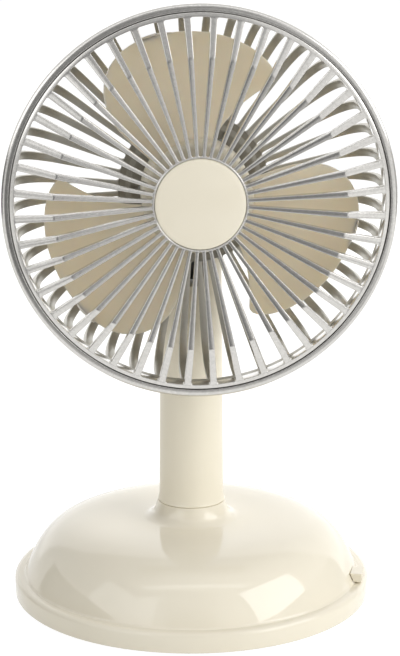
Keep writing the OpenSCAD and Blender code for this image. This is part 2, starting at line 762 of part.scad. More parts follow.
module front_grille() {
    cup_r = cap_r + seat_gap;
    color(silver) on_head() difference() {
        union() {
            intersection() {
                rotate_extrude() polygon([
                    [front_hub_r - 1, hub_face_y], [ridge_r, front_y - ridge_rise], [rim_in + 1, front_y],
                    [rim_in + 1, front_y + rib_depth], [ridge_r, front_y - ridge_rise + rib_depth],
                    [front_hub_r - 1, hub_face_y + rib_depth]
                ]);
                translate([0, 0, front_y - ridge_rise - over])
                    linear_extrude(height = ridge_rise + rim_t + 2 * over) rib_star();
            }
            rotate_extrude() polygon(concat(
                [[rim_in, shoulder_y], [rim_in, front_y + 0.2], [rim_in + 0.3, front_y]],
                arc([front_rim_r - 0.3, front_y + 0.7], 0.3, 0.3, 270, 360, 3), [[front_rim_r, shoulder_y]]
            ));
            translate([0, 0, hub_face_y]) cylinder(r = front_hub_r, h = hub_cup + hub_floor);
        }
        translate([0, 0, hub_face_y - over]) cylinder(r = cup_r, h = hub_cup + over);
        translate([0, 0, hub_face_y - over]) cylinder(r = cap_peg_r + seat_gap, h = hub_cup + hub_floor + 2 * over);
    }
}

// Slightly crowned disc with a peg that snaps into the front hub
module hub_cap() {
    crown = 0.7;
    edge = 0.4;
    face_r = cap_r - edge;
    color(cream) on_head() rotate_extrude() polygon(concat(
        [for (i = [0:6]) [face_r * i / 6, hub_face_y - crown * (1 - pow(i / 6, 2))]],
        [[cap_r, hub_face_y + edge], [cap_r, hub_face_y + hub_cup], [cap_peg_r, hub_face_y + hub_cup],
         [cap_peg_r, hub_face_y + hub_cup + hub_floor], [0, hub_face_y + hub_cup + hub_floor]]
    ));
}

// Motor, all on the head's axis

module motor_can() {
    color(steel) on_head() difference() {
        union() {
            translate([0, 0, back_y]) cylinder(r = motor_r, h = motor_l);
            translate([0, 0, back_y - nose_l]) cylinder(r = nose_r, h = nose_l + over);
        }
        translate([0, 0, back_y + 1]) cylinder(r = motor_r - can_wall, h = motor_l);
        translate([0, 0, back_y - nose_l - over]) cylinder(r = bush_r, h = nose_l + 2 + over);
    }
}

module front_bush() {
    color(brass) on_head() translate([0, 0, back_y - nose_l])
        tube(bush_r - press_gap, shaft_r + run_gap, bush_l);
}

module rear_bush() {
    color(brass) on_head() translate([0, 0, motor_end_y - end_cap_lip])
        tube(bush_r - press_gap, shaft_r + run_gap, end_cap_t);
}

module motor_end_cap() {
    color(black) on_head() difference() {
        union() {
            translate([0, 0, motor_end_y - end_cap_lip])
                cylinder(r = motor_r - can_wall - press_gap, h = end_cap_lip + over);
            translate([0, 0, motor_end_y]) cylinder(r = motor_r, h = end_cap_t);
        }
        translate([0, 0, motor_end_y - end_cap_lip - over]) cylinder(r = bush_r, h = end_cap_t + over);
    }
}

module motor_magnets() {
    r_out = motor_r - can_wall - press_gap;
    color(ferrite) on_head() translate([0, 0, magnet_y]) difference() {
        tube(r_out, r_out - magnet_t, magnet_l);
        for (a = pod_screw_turns) rotate([0, 0, a]) translate([0, -magnet_gap / 2, -over]) cube([motor_r, magnet_gap, magnet_l + 2 * over]);
    }
}

// Two brush blocks that stand on the end cap beside the commutator
module motor_brushes() {
    color(copper) on_head() for (s = pod_screw_turns) rotate([0, 0, s])
        translate([commutator_r + slide_gap, -brush_w / 2, brush_y]) cube([brush_t, brush_w, motor_end_y - end_cap_lip - brush_y]);
}

module motor_shaft() {
    color(steel) on_head() translate([0, 0, shaft_front_y])
        cylinder(r = shaft_r, h = motor_end_y + end_cap_t - 1.2 - shaft_front_y);
}

// Three-pole core: a collar, three arms and three pole shoes
module armature_core() {
    color(steel) on_head() translate([0, 0, core_y]) difference() {
        union() {
            cylinder(r = collar_r, h = core_l);
            for (a = pole_turns) rotate([0, 0, a]) {
                translate([0, -arm_w / 2, 0]) cube([core_r - 0.4, arm_w, core_l]);
                rotate([0, 0, -shoe_turn / 2]) rotate_extrude(angle = shoe_turn) translate([core_r - shoe_t, 0]) square([shoe_t, core_l]);
            }
        }
        translate([0, 0, -over]) cylinder(r = shaft_r + press_gap, h = core_l + 2 * over);
    }
}

module armature_windings() {
    r0 = collar_r + 0.9;
    r1 = sqrt(pow(core_r - shoe_t - slide_gap, 2) - pow(arm_w / 2 + coil_w, 2));
    color(copper) on_head() translate([0, 0, core_y]) for (a = pole_turns) rotate([0, 0, a]) difference() {
        translate([r0, -arm_w / 2 - coil_w, -coil_over]) cube([r1 - r0, arm_w + 2 * coil_w, core_l + 2 * coil_over]);
        translate([r0 - over, -arm_w / 2, 0]) cube([r1 - r0 + 2 * over, arm_w, core_l]);
    }
}

module commutator() {
    color(copper) on_head() translate([0, 0, commutator_y])
        tube(commutator_r, shaft_r + press_gap, commutator_l);
}

// Impeller

// Ends of a blade's chord at a radius, as turns from its trailing edge
function corner(r, r0) = r <= r0 ? 0 : 1 - sqrt(max(0, 1 - pow((r - r0) / (blade_r - r0), 2)));
function trail_turn(r) = trail_round * corner(r, trail_round_r);
function lead_turn(r) = blade_root_sweep + lead_sweep * (r - hub_r) - lead_round * corner(r, lead_round_r);
// Place along the axis of the blade's middle surface: a helix, bowed across the chord
function blade_place(a) = let (s = 2 * a / blade_chord - 1) blade_y + blade_depth / 2 * s + blade_camber * (1 - s * s);
function blade_row(i) = root_r + (blade_r - root_r) * sin(90 * i / blade_rows);

// One blade: two skins of points by radius and chord, closed round their edges
module blade() {
    cols = blade_cols + 1;
    skin = (blade_rows + 1) * cols;
    points = [for (side = [-0.5, 0.5], i = [0:blade_rows], j = [0:blade_cols])
        let (r = blade_row(i), a = trail_turn(r) + (lead_turn(r) - trail_turn(r)) * j / blade_cols)
            [r * sin(a), -r * cos(a), blade_place(a) + side * blade_t]];
    faces = concat(
        [for (i = [0:blade_rows - 1], j = [0:blade_cols - 1]) let (p = i * cols + j)
            each [[p, p + cols, p + cols + 1], [p, p + cols + 1, p + 1],
                  [skin + p, skin + p + cols + 1, skin + p + cols], [skin + p, skin + p + 1, skin + p + cols + 1]]],
        [for (j = [0:blade_cols - 1]) let (p = j, q = blade_rows * cols + j)
            each [[p, p + 1, skin + p + 1, skin + p], [q + 1, q, skin + q, skin + q + 1]]],
        [for (i = [0:blade_rows - 1]) let (p = i * cols, q = p + blade_cols)
            each [[p + cols, p, skin + p, skin + p + cols], [q, q + cols, skin + q + cols, skin + q]]]
    );
    polyhedron(points, faces);
}

module impeller() {
    hub_l = hub_back_y - hub_front_y;
    color(tan_cream) on_head() difference() {
        union() {
            for (k = [0:blade_count - 1]) rotate([0, 0, blade_start + 360 / blade_count * k]) blade();
            translate([0, 0, hub_front_y]) {
                tube(hub_r, hub_r - hub_wall, hub_l);
                cylinder(r = hub_r - hub_wall / 2, h = hub_wall);
                cylinder(r = hub_boss_r, h = hub_l - 4);
                for (k = [0:2]) rotate([0, 0, 120 * k + 30]) translate([0, -hub_rib_t / 2, 0])
                    cube([hub_r - hub_wall / 2, hub_rib_t, hub_l * 0.6]);
            }
        }
        translate([0, 0, hub_front_y - over]) cylinder(r = shaft_r + press_gap, h = hub_l + 2 * over);
    }
}

module impeller_nut() {
    color(steel) on_head() translate([0, 0, hub_front_y - nut_len]) difference() {
        cylinder(r = nut_across / 2, h = nut_len, $fn = 6);
        translate([0, 0, nut_crown - press_gap]) cylinder(r = shaft_r + press_gap, h = nut_len);
    }
}

base_shell();
bottom_cover();
rubber_feet();
cover_screws();
ballast_plate();
ballast_screws();
control_board();
board_screws();
usb_socket();
switch_body();
switch_knob();
column();
column_nut();
supply_lead();
pivot_screw();
pivot_nut();
pivot_washers();
pivot_caps();
motor_cradle();
cradle_screws();
pod_cover();
pod_screws();
rear_grille();
trim_ring();
front_grille();
hub_cap();
motor_can();
motor_magnets();
motor_brushes();
motor_end_cap();
front_bush();
rear_bush();
motor_shaft();
armature_core();
armature_windings();
commutator();
impeller();
impeller_nut();
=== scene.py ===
import math

import bmesh
import bpy
from mathutils import Matrix, Vector


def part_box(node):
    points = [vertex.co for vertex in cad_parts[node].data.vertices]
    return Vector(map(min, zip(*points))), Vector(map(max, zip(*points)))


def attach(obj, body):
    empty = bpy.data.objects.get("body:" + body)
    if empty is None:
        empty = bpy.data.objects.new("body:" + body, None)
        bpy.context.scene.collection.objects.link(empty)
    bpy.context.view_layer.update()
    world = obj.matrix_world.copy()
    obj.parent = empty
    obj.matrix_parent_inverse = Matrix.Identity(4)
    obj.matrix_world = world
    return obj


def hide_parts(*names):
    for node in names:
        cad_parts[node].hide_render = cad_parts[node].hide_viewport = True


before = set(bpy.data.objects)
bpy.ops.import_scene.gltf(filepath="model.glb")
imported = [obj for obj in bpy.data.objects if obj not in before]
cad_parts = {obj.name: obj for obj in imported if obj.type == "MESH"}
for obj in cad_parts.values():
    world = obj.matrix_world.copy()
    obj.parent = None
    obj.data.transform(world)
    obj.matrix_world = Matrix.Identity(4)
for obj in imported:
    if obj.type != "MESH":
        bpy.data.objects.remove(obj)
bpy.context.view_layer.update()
scene = bpy.context.scene
scene.view_settings.view_transform = "Standard"

# Lengths below are millimetres: a mesh is built in them and scaled to metres when its piece is made.
metre = 1000
headZ = metre * sum(corner.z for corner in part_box("trim_ring")) / 2
onHead = Matrix.Translation((0, 0, headZ)) @ Matrix.Rotation(-math.pi / 2, 4, "X")  # local +Z runs along world +Y


# Camera

shot = dict(target=(3.7, 0, 113.6), distance=807.4, azimuth=-3.85, elevation=13.4, lens=106.65, sensor=36)


def makeCamera():
    turn, rise = math.radians(shot["azimuth"]), math.radians(shot["elevation"])
    back = Vector((math.sin(turn) * math.cos(rise), -math.cos(turn) * math.cos(rise), math.sin(rise)))
    camera = bpy.data.objects.new("camera", bpy.data.cameras.new("camera"))
    camera.data.lens = shot["lens"]
    camera.data.sensor_width = shot["sensor"]
    camera.location = (Vector(shot["target"]) + back * shot["distance"]) / metre
    camera.rotation_euler = (-back).to_track_quat("-Z", "Y").to_euler()
    scene.collection.objects.link(camera)
    scene.camera = camera


makeCamera()
print("camera set")


# Materials: a texture's size and a bump's reach are millimetres

def linear(hexText):
    parts = [int(hexText[i:i + 2], 16) / 255 for i in (1, 3, 5)]
    return [c / 12.92 if c <= 0.04045 else ((c + 0.055) / 1.055) ** 2.4 for c in parts] + [1.0]


def addNode(tree, kind, settings, links={}):
    node = tree.nodes.new(kind)
    for key, value in settings.items():
        if isinstance(key, int) or key in node.inputs:
            node.inputs[key].default_value = value
        else:
            setattr(node, key, value)
    for key, source in links.items():
        tree.links.new(source, node.inputs[key])
    return node


def newMaterial(name, **values):
    material = bpy.data.materials.new(name)
    material.use_nodes = True
    tree = material.node_tree
    shader = tree.nodes["Principled BSDF"]
    for key, value in values.items():
        shader.inputs[key.replace("_", " ")].default_value = value
    point = addNode(tree, "ShaderNodeTexCoord", {}).outputs["Object"]
    return material, tree, shader, point


def noise(tree, point, size, detail, distortion=0.0):
    settings = {"Scale": metre / size, "Detail": detail, "Distortion": distortion}
    return addNode(tree, "ShaderNodeTexNoise", settings, {"Vector": point}).outputs["Fac"]


def colour(tree, shader, look, toneShare, glossShare):
    # tone and roughness, each mixed between the look's two ends by a texture
    tones = {"data_type": "RGBA", 6: linear(look["pale"]), 7: linear(look["deep"])}
    tint = addNode(tree, "ShaderNodeMix", tones, {0: toneShare})
    ends = {"To Min": look["smooth"], "To Max": look["dull"]}
    gloss = addNode(tree, "ShaderNodeMapRange", ends, {"Value": glossShare})
    tree.links.new(tint.outputs[2], shader.inputs["Base Color"])
    tree.links.new(gloss.outputs["Result"], shader.inputs["Roughness"])


def emboss(tree, shader, height, strength, reach):
    settings = {"Strength": strength, "Distance": reach / metre}
    bump = addNode(tree, "ShaderNodeBump", settings, {"Height": height})
    tree.links.new(bump.outputs["Normal"], shader.inputs["Normal"])


# Ivory ABS from a polished mould: a hard gloss whose faint ripple softens the lamps' edges a little
ivoryGloss = dict(pale="#efe8d6", deep="#e9e1cd", cloud=38, ripple=5, ripples=0.02, reach=0.2, smooth=0.03, dull=0.06)


def mouldedGlossAbs():
    material, tree, shader, point = newMaterial("mouldedGlossAbs", IOR=1.53)
    cloud = noise(tree, point, ivoryGloss["cloud"], 3.0)
    ripple = noise(tree, point, ivoryGloss["ripple"], 1.0)
    colour(tree, shader, ivoryGloss, cloud, cloud)
    emboss(tree, shader, ripple, ivoryGloss["ripples"], ivoryGloss["reach"])
    return material


# The same ivory ABS from a spark-eroded mould: its fine pits give the satin sheen of the column and pod
# The pits are drawn coarser than the real 0.1 mm
ivorySatin = dict(pale="#eee7d4", deep="#e8e0cb", cloud=30, pit=0.9, pits=0.10, reach=0.1, smooth=0.36, dull=0.46)


def mouldedSatinAbs():
    material, tree, shader, point = newMaterial("mouldedSatinAbs", IOR=1.53)
    cloud = noise(tree, point, ivorySatin["cloud"], 3.0)
    pits = noise(tree, point, ivorySatin["pit"], 2.0)
    colour(tree, shader, ivorySatin, cloud, pits)
    emboss(tree, shader, pits, ivorySatin["pits"], ivorySatin["reach"])
    return material


# Silver lacquer sprayed on ABS: fine aluminium flake under a clear film, bright on every rounded edge
# The flake is drawn coarser than the real 0.05 mm
silverLacquer = dict(pale="#d0ceca", deep="#c7c5c1", flake=0.8, smooth=0.17, dull=0.21, metal=0.92,
                     film=0.25, filmDull=0.08)


def sprayedSilverLacquer():
    material, tree, shader, point = newMaterial("sprayedSilverLacquer", Metallic=silverLacquer["metal"],
                                                Coat_Weight=silverLacquer["film"],
                                                Coat_Roughness=silverLacquer["filmDull"])
    flake = addNode(tree, "ShaderNodeTexVoronoi", {"Scale": metre / silverLacquer["flake"]}, {"Vector": point})
    shade = addNode(tree, "ShaderNodeSeparateColor", {}, {"Color": flake.outputs["Color"]})
    colour(tree, shader, silverLacquer, shade.outputs["Red"], shade.outputs["Green"])
    return material


# Moulded polypropylene blades: waxy and a little translucent, with faint flow lines
waxyBlade = dict(pale="#f4e7d3", deep="#eddfc9", flow=14, swirl=0.6, ripple=2.2, ripples=0.04, reach=0.2,
                 smooth=0.34, dull=0.46, milk=0.7, milkDepth=4, milkTone=(1.0, 0.85, 0.65))


def mouldedPolypropylene():
    material, tree, shader, point = newMaterial("mouldedPolypropylene", IOR=1.49, Subsurface_Weight=waxyBlade["milk"],
                                                Subsurface_Scale=waxyBlade["milkDepth"] / metre,
                                                Subsurface_Radius=waxyBlade["milkTone"])
    flow = noise(tree, point, waxyBlade["flow"], 4.0, waxyBlade["swirl"])
    ripple = noise(tree, point, waxyBlade["ripple"], 1.0)
    colour(tree, shader, waxyBlade, flow, flow)
    emboss(tree, shader, ripple, waxyBlade["ripples"], waxyBlade["reach"])
    return material


# Pieces inside and at the back: tones, grain and shine of each
plainFinishes = {
    "mouldedBlackNylon": dict(pale="#1d1d1e", deep="#131314", grain=1.2, bumps=0.15, smooth=0.42, dull=0.58, metal=0.0),
    "matRubber": dict(pale="#232323", deep="#191919", grain=0.8, bumps=0.25, smooth=0.70, dull=0.85, metal=0.0),
    "zincPlatedSteel": dict(pale="#c6c8ca", deep="#aeb1b4", grain=1.5, bumps=0.05, smooth=0.22, dull=0.38, metal=1.0),
    "drawnStainlessSteel": dict(pale="#d6d6d5", deep="#c2c3c4", grain=2.5, bumps=0.03, smooth=0.16, dull=0.28,
                                metal=1.0),
    "sinteredBronze": dict(pale="#c09a55", deep="#9c7a3e", grain=0.6, bumps=0.20, smooth=0.35, dull=0.55, metal=1.0),
    "enamelledCopper": dict(pale="#c4743c", deep="#a85a2a", grain=0.7, bumps=0.30, smooth=0.20, dull=0.35, metal=1.0),
    "sinteredFerrite": dict(pale="#3a3b3d", deep="#2b2c2e", grain=0.7, bumps=0.20, smooth=0.55, dull=0.75, metal=0.0),
    "solderMaskBoard": dict(pale="#2f6a45", deep="#24563a", grain=3.0, bumps=0.05, smooth=0.25, dull=0.40, metal=0.0),
    "softPvc": dict(pale="#1c1c1d", deep="#141415", grain=2.0, bumps=0.08, smooth=0.38, dull=0.50, metal=0.0),
    # the rear plate's dark tone is painted shade: the plate sits in the shadow of the blades and hub in front of it
    "shadeDarkenedPlateAbs": dict(pale="#8d8a80", deep="#817e74", grain=1.0, bumps=0.05, smooth=0.40, dull=0.52, metal=0.3),
    # a duller copy of the silver lacquer whose darker tone is painted shade, for the ribs inside the cage
    "shadeDarkenedSilver": dict(pale="#bbb8af", deep="#afaca3", grain=1.0, bumps=0.05, smooth=0.34, dull=0.44,
                                metal=0.75),
}
grainReach = 0.1


def grainedFinish(name, finish):
    material, tree, shader, point = newMaterial(name, Metallic=finish["metal"])
    grain = noise(tree, point, finish["grain"], 3.0)
    colour(tree, shader, finish, grain, grain)
    emboss(tree, shader, grain, finish["bumps"], grainReach)
    return material


glossAbs = mouldedGlossAbs()
satinAbs = mouldedSatinAbs()
silver = sprayedSilverLacquer()
bladePlastic = mouldedPolypropylene()
plain = {name: grainedFinish(name, finish) for name, finish in plainFinishes.items()}
print("materials made:", 4 + len(plain))


# Mesh helpers

weld = 0.0005
toMetres = (1 / metre,) * 3


def lathe(bm, points, steps, closed=True):
    # points are radius, height and, at a rounded corner, how far the rounding reaches
    verts = [bm.verts.new((p[0], 0, p[1])) for p in points]
    for pair in zip(verts, verts[1:] + verts[:1] if closed else verts[1:]):
        bm.edges.new(pair)
    for size in sorted({p[2] for p in points if len(p) > 2}):
        corners = [v for v, p in zip(verts, points) if len(p) > 2 and p[2] == size]
        bmesh.ops.bevel(bm, geom=corners, offset=size, offset_type="OFFSET", affect="VERTICES",
                        segments=4, profile=0.5, material=-1)
    wire = [e for e in bm.edges if e.is_wire]
    ends = list({v for e in wire for v in e.verts})
    bmesh.ops.spin(bm, geom=ends + wire, cent=(0, 0, 0), axis=(0, 0, 1), angle=2 * math.pi, steps=steps,
                   use_merge=True)
    bmesh.ops.remove_doubles(bm, verts=bm.verts, dist=weld)


def strip(bm, across, stations):
    # a grid whose rows run across the strip, one at each station; across gives a row's points from a station
    made = bmesh.ops.create_grid(bm, x_segments=len(stations) - 1, y_segments=1, size=1)["verts"]
    for v in made:
        i = round((v.co.x + 1) / 2 * (len(stations) - 1))
        v.co = across(stations[i], 1 if v.co.y > 0 else -1)
    return list({f for v in made for f in v.link_faces})


def repeatRound(bm, count):
    bmesh.ops.spin(bm, geom=bm.verts[:] + bm.edges[:] + bm.faces[:], cent=(0, 0, 0), axis=(0, 0, 1),
                   angle=2 * math.pi * (count - 1) / count, steps=count - 1, use_duplicate=True)


def ribsRound(bm, count):
    # turns one rib until two of them stand evenly beside the top, and repeats it
    turn = Matrix.Rotation(math.radians(90 + 180 / count), 3, "Z")
    bmesh.ops.rotate(bm, cent=(0, 0, 0), matrix=turn, verts=bm.verts)
    repeatRound(bm, count)


def extent(edge, axis):
    return abs(edge.verts[0].co[axis] - edge.verts[1].co[axis])


def roundEdges(bm, size, segments, picked):
    bmesh.ops.bevel(bm, geom=[e for e in bm.edges if picked(e)], offset=size, offset_type="OFFSET", affect="EDGES",
                    segments=segments, profile=0.5, material=-1, clamp_overlap=True)


def block(bm, low, high):
    size = [b - a for a, b in zip(low, high)]
    middle = [(a + b) / 2 for a, b in zip(low, high)]
    bmesh.ops.create_cube(bm, size=1, matrix=Matrix.Translation(middle) @ Matrix.Diagonal((*size, 1)))


def cylinder(bm, radius, depth, segments, matrix):
    bmesh.ops.create_cone(bm, cap_ends=True, segments=segments, radius1=radius, radius2=radius, depth=depth,
                          matrix=matrix)


def arcBetween(start, end, turn, count):
    # points on an arc that turns by so many degrees on its way, to the left where that is positive
    p, q, angle = Vector(start), Vector(end), math.radians(turn)
    along = q - p
    centre = (p + q) / 2 + Vector((-along.y, along.x)) / (2 * math.tan(angle / 2))
    return [tuple(centre + Matrix.Rotation(angle * i / count, 2) @ (p - centre)) for i in range(count + 1)]


def settle(bm):
    # faces turned outwards, and millimetres to metres
    bmesh.ops.recalc_face_normals(bm, faces=bm.faces)
    bmesh.ops.scale(bm, vec=toMetres, verts=bm.verts)


def newObject(name, bm):
    thing = bpy.data.objects.new(name, bpy.data.meshes.new(name))
    bm.to_mesh(thing.data)
    bm.free()
    scene.collection.objects.link(thing)
    return thing


def makePiece(name, bm, material, body, nodes, sharp=34):
    # edges that turn by more than sharp degrees stay crisp in the shading
    settle(bm)
    for face in bm.faces:
        face.smooth = True
    for edge in bm.edges:
        edge.smooth = edge.calc_face_angle(0) < math.radians(sharp)
    piece = newObject(name, bm)
    piece.data.materials.append(material)
    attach(piece, body)
    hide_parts(*nodes)
    print(name, "has", len(piece.data.polygons), "faces")
    return piece


def cutOut(piece, bm):
    # takes the closed shapes in bm out of a piece
    settle(bm)
    cutter = newObject("cutter", bm)
    cut = piece.modifiers.new("cut", "BOOLEAN")
    cut.object, cut.solver = cutter, "EXACT"
    bpy.context.view_layer.update()
    done = bpy.data.meshes.new_from_object(piece.evaluated_get(bpy.context.evaluated_depsgraph_get()))
    done.name = piece.name
    piece.modifiers.clear()
    piece.data = done
    bpy.data.objects.remove(cutter)


def softenEdges(piece, width, angle):
    soften = piece.modifiers.new("soften", "BEVEL")
    soften.width, soften.segments = width / metre, 3
    soften.limit_method, soften.angle_limit = "ANGLE", math.radians(angle)


# Base: a glossy dome with a flat crown, a flange round its foot and a flared neck

base = dict(radius=75, foot=0.4, footRound=0.5, ledge=8.7, flangeRound=2, dome=70.6, height=23.5, square=8, wall=2.2,
            cove=0.5, neckFoot=17.4, neck=14.1, neckTurn=22, neckRound=3, neckInner=11.3, neckWall=4,
            switchTurn=-15, switchZ=11.3, slotHalf=4.05, slotRise=1.2, slotNear=60, slotFar=80,
            socketY=66, socketSize=(9.2, 14, 3.4), socketRound=1.69)


def domeCurve(shell, radiusEnd, count):
    # from the flange up to the given radius, the shell's depth under the outer face
    wide, tall = base["dome"] - shell, base["height"] - shell
    end = math.acos((radiusEnd / wide) ** (base["square"] / 2))
    turns = [end * i / count for i in range(count + 1)]
    return [(wide * math.cos(t) ** (2 / base["square"]), base["ledge"] + tall * math.sin(t) ** 2) for t in turns]


def domeReach(z):
    return base["dome"] * (1 - (z - base["ledge"]) / base["height"]) ** (1 / base["square"])


def baseSlots():
    # the switch's slot at the side and the socket's rounded mouth at the back
    slots = bmesh.new()
    half, z, rise = base["slotHalf"], base["switchZ"], base["slotRise"]
    block(slots, (base["slotNear"], -half, z - rise), (base["slotFar"], half, z + rise))
    turn = Matrix.Rotation(math.radians(base["switchTurn"]), 3, "Z")
    bmesh.ops.rotate(slots, cent=(0, 0, 0), matrix=turn, verts=slots.verts)
    low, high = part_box("usb_socket")
    place = Matrix.Translation((0, base["socketY"], metre * (low.z + high.z) / 2))
    made = bmesh.ops.create_cube(slots, size=1, matrix=place @ Matrix.Diagonal((*base["socketSize"], 1)))["verts"]
    ends = [e for e in {e for v in made for e in v.link_edges} if extent(e, 1) > 5]
    bmesh.ops.bevel(slots, geom=ends, offset=base["socketRound"], offset_type="OFFSET", affect="EDGES",
                    segments=8, profile=0.5, material=-1)
    return slots


def makeBase():
    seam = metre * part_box("base_shell")[1].z
    radius, ledge, wall = base["radius"], base["ledge"], base["wall"]
    flange = [(radius - wall, base["foot"]), (radius, base["foot"], base["footRound"]),
              (radius, ledge, base["flangeRound"]), (base["dome"] + base["cove"], ledge)]
    outer = [point for point in domeCurve(0, base["neckFoot"], 56) if point[1] > ledge + base["cove"]]
    neck = arcBetween(outer[-1], (base["neck"], seam), -base["neckTurn"], 12)[5:]  # from past the rounding
    outer[-1] = (*outer[-1], base["neckRound"])
    inner = domeCurve(wall, base["neck"] + base["neckWall"], 20)[::-1]
    bore = [(base["neckInner"], seam), (base["neckInner"], inner[0][1])]
    underside = [(base["dome"] - wall, ledge - wall), (radius - wall, ledge - wall)]
    bm = bmesh.new()
    lathe(bm, flange + outer + neck + bore + inner + underside, steps=192)
    shell = makePiece("baseDome", bm, glossAbs, "base", ["base_shell"], sharp=40)
    cutOut(shell, baseSlots())


makeBase()


# Switch knob: a small cream slider with grip ridges on its face

knob = dict(length=9, height=3.6, rest=-2.25, face=73.8, gap=0.12, ridges=4, ridgeOut=0.3, edge=0.25,
            stemNear=62, stemShort=1, stemHalf=1.5, stemRise=0.9)


def makeKnob():
    turn = Matrix.Rotation(math.radians(base["switchTurn"]), 4, "Z")
    face = knob["face"]
    bm = bmesh.new()
    block(bm, (0, -knob["length"] / 2, -knob["height"] / 2), (face, knob["length"] / 2, knob["height"] / 2))
    for v in bm.verts:
        if v.co.x < 1:  # the inner side follows the dome
            v.co.x = domeReach(base["switchZ"] + v.co.z) + knob["gap"]
    front = max(bm.faces, key=lambda f: f.calc_center_median().x)
    bmesh.ops.subdivide_edges(bm, edges=[e for e in front.edges if extent(e, 1) > 1],
                              cuts=2 * knob["ridges"], use_grid_fill=True)
    strips = sorted((f for f in bm.faces if abs(f.calc_center_median().x - face) < 1e-4),
                    key=lambda f: f.calc_center_median().y)
    ridges = bmesh.ops.extrude_discrete_faces(bm, faces=strips[1::2])["faces"]
    bmesh.ops.translate(bm, vec=(knob["ridgeOut"], 0, 0), verts=list({v for f in ridges for v in f.verts}))
    half, rise = knob["stemHalf"], knob["stemRise"]
    block(bm, (knob["stemNear"], -half, -rise), (face - knob["stemShort"], half, rise))
    place = turn @ Matrix.Translation((0, knob["rest"], base["switchZ"]))
    bmesh.ops.transform(bm, matrix=place, verts=bm.verts)
    piece = makePiece("switchKnob", bm, glossAbs, "switch", ["switch_knob"], sharp=30)
    softenEdges(piece, knob["edge"], 30)


makeKnob()


# Column: a tapered post whose round top is forked for the tilt hinge

post = dict(foot=14.1, flare=13.4, flareHeight=6, groove=0.45, grooveFloor=0.05, spigot=11.2, spigotDepth=6, top=12.6,
            pivotZ=144, forkHalf=4.4, forkFloor=134, forkClear=20, pocket=4.0, pocketX=8.45, pocketDepth=8, edge=0.4)


def forkCuts():
    # the fork's gap and the two pockets for the pivot's caps
    cuts = bmesh.new()
    half, clear = post["forkHalf"], post["forkClear"]
    block(cuts, (-half, -clear, post["forkFloor"]), (half, clear, post["pivotZ"] + clear))
    for side in (-1, 1):
        place = Matrix.Translation((side * (post["pocketX"] + post["pocketDepth"] / 2), 0, post["pivotZ"]))
        cylinder(cuts, post["pocket"], post["pocketDepth"], 48, place @ Matrix.Rotation(math.pi / 2, 4, "Y"))
    return cuts


def makeColumn():
    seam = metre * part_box("base_shell")[1].z
    floor = seam + post["grooveFloor"]
    spigot = [(0, seam - post["spigotDepth"]), (post["spigot"], seam - post["spigotDepth"]),
              (post["spigot"], floor), (post["foot"] - post["groove"], floor)]
    sweep = [(post["foot"] - (post["foot"] - post["flare"]) * math.sin(a),
              seam + post["groove"] + post["flareHeight"] * (1 - math.cos(a)))
             for a in [math.radians(15 * i) for i in range(7)]]
    crown = [(post["top"] * math.cos(a), post["pivotZ"] + post["top"] * math.sin(a))
             for a in [math.radians(7.5 * i) for i in range(13)]]
    crown[-1] = (0, crown[-1][1])
    bm = bmesh.new()
    lathe(bm, spigot + sweep + crown, steps=128, closed=False)
    column = makePiece("column", bm, satinAbs, "base", ["column"])
    cutOut(column, forkCuts())
    softenEdges(column, post["edge"], 50)


makeColumn()


# Trim ring round the cage

ring = dict(radius=75.4, taper=0.4, inner=73, lip=72.5, front=-59.7, back=-45, edge=1.5, innerEdge=0.3, lipEdge=0.15,
            shoulderInner=70.85, shoulderFront=-55, shoulderBack=-52.5)


def makeRing():
    shoulder, fine = ring["shoulderInner"], ring["innerEdge"]
    bm = bmesh.new()
    lathe(bm, [(ring["inner"], ring["back"], fine), (ring["inner"], ring["shoulderBack"]),
               (shoulder, ring["shoulderBack"], fine), (shoulder, ring["shoulderFront"], fine),
               (ring["lip"], ring["shoulderFront"]), (ring["lip"], ring["front"], ring["lipEdge"]),
               (ring["radius"], ring["front"], ring["edge"]),
               (ring["radius"] - ring["taper"], ring["back"], ring["edge"])], steps=216)
    bmesh.ops.transform(bm, matrix=onHead, verts=bm.verts)
    makePiece("trimRing", bm, silver, "head", ["trim_ring"], sharp=50)


makeRing()


# Front grille: tapered ribs that bend at a ridge, between a rim and a hub ring

grille = dict(ribs=44, front=-60, back=-55, ridge=55.6, ridgeRise=4, rimWidth=2.6, hubWidth=1.25, depth=3.2, edge=0.22,
              rimIn=70.45, rimOut=72.15, rimRise=0.04, rimFall=0.46, rimEdge=0.25, rimBackEdge=0.2, rimFillet=0.7,
              rimLap=0.8, hubFace=-59.2, hubIn=17.6, hubOut=18.3, hubRise=0.15, hubInEdge=0.35, hubOutEdge=0.4,
              hubFillet=0.5, hubLap=0.7, hubFloor=2, hubBack=3.5, hubHole=3.1)


def frontHeight(r):
    if r > grille["ridge"]:
        return grille["front"] - grille["ridgeRise"] * (grille["rimIn"] - r) / (grille["rimIn"] - grille["ridge"])
    top = grille["front"] - grille["ridgeRise"]
    return top + (grille["hubFace"] - top) * (grille["ridge"] - r) / (grille["ridge"] - grille["hubOut"])


def flare(distance, reach):
    # extra half width of a rib where it runs into a ring, so that the slot's corner is round
    return 0 if distance > reach else reach - math.sqrt(reach ** 2 - (reach - max(distance, 0)) ** 2)


def frontRow(r, side):
    share = (r - grille["hubOut"]) / (grille["rimIn"] - grille["hubOut"])
    half = (grille["hubWidth"] + (grille["rimWidth"] - grille["hubWidth"]) * share) / 2
    half += flare(grille["rimIn"] - r, grille["rimFillet"]) + flare(r - grille["hubOut"], grille["hubFillet"])
    return r, side * half, frontHeight(r)


